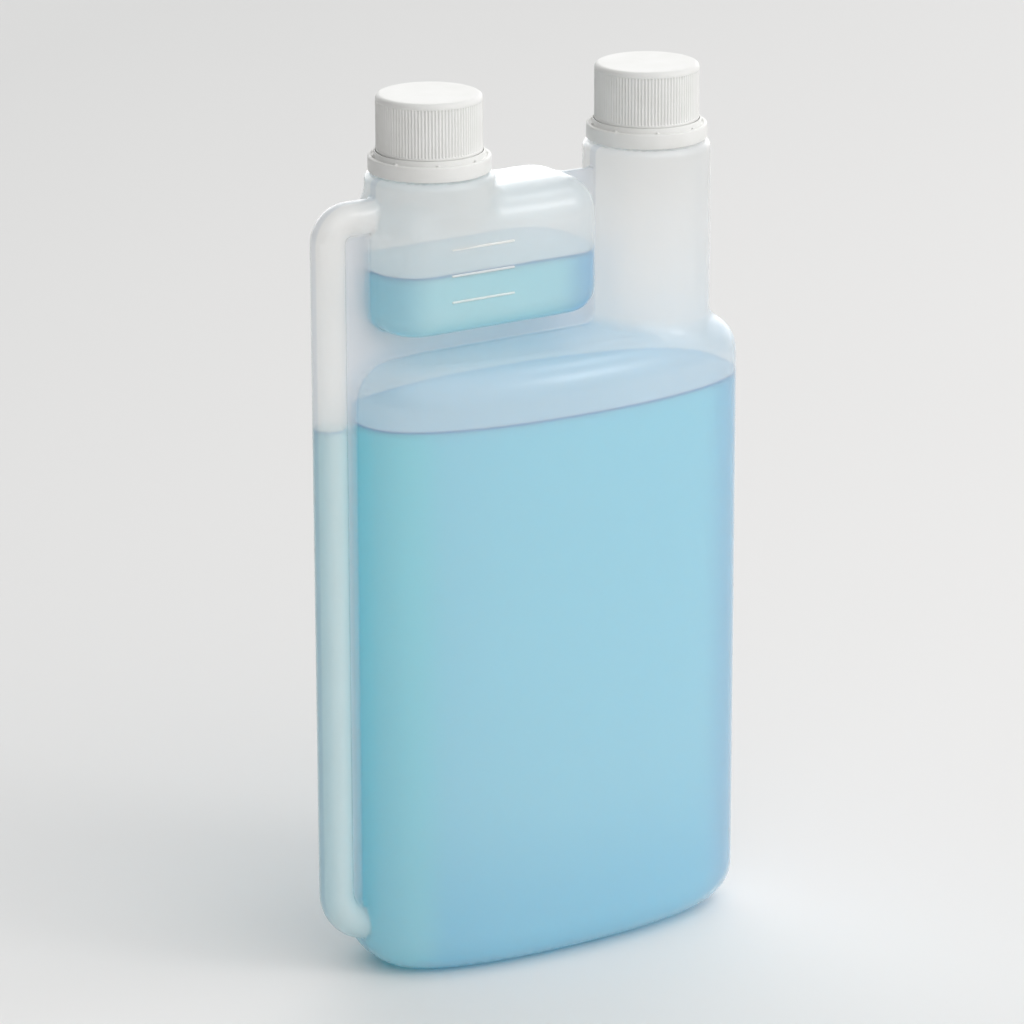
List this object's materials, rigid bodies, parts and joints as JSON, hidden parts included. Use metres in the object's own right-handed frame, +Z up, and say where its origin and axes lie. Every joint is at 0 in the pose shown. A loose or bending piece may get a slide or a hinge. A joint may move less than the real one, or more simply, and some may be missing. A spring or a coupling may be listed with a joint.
{
  "type": "dosing bottle",
  "caption": "Translucent squeeze-to-dose bottle with an upright feed tube, a graduated dosing chamber beside the filler neck and ribbed screw caps.",
  "frame": {"origin": "centre of the overall box in plan, on the plane that the bottle stands on", "axes": "+Z up along the necks, +X from the feed tube toward the filler neck, +Y toward the back; the graduated face looks along -Y"},
  "size_m": [0.1394, 0.056, 0.26],
  "materials": {
    "natural_hdpe": "natural polyethylene, blow moulded, translucent, softly glossy",
    "white_polypropylene": "white polypropylene, injection moulded, satin",
    "liner_foam": "foamed polyethylene wad, matt",
    "pale_blue_liquid": "clear pale blue water-based liquid"
  },
  "bodies": {
    "bottle_body": {"bottle": "natural_hdpe", "dosing_cap_band": "white_polypropylene", "filler_cap_band": "white_polypropylene", "reservoir_liquid": "pale_blue_liquid", "dosing_liquid": "pale_blue_liquid"},
    "dosing_liner_body": {"dosing_cap_liner": "liner_foam"},
    "dosing_cap_body": {"dosing_cap": "white_polypropylene"},
    "filler_liner_body": {"filler_cap_liner": "liner_foam"},
    "filler_cap_body": {"filler_cap": "white_polypropylene"}
  },
  "joints": [
    {"name": "dosing_cap_lift", "type": "slide", "parent": "bottle_body", "child": "dosing_liner_body", "axis": [0, 0, 1], "range_m": [0, 0.0084]},
    {"name": "dosing_cap_turn", "type": "hinge", "parent": "dosing_liner_body", "child": "dosing_cap_body", "pos_m": [-0.031, 0, 0.25], "axis": [0, 0, 1], "range_deg": [0, 720]},
    {"name": "filler_cap_lift", "type": "slide", "parent": "bottle_body", "child": "filler_liner_body", "axis": [0, 0, 1], "range_m": [0, 0.0084]},
    {"name": "filler_cap_turn", "type": "hinge", "parent": "filler_liner_body", "child": "filler_cap_body", "pos_m": [0.0427, 0, 0.25], "axis": [0, 0, 1], "range_deg": [0, 720]}
  ],
  "couplings": [
    {"joint": "dosing_cap_lift", "follows": "dosing_cap_turn", "m_per_rad": 0.00066845},
    {"joint": "filler_cap_lift", "follows": "filler_cap_turn", "m_per_rad": 0.00066845}
  ]
}
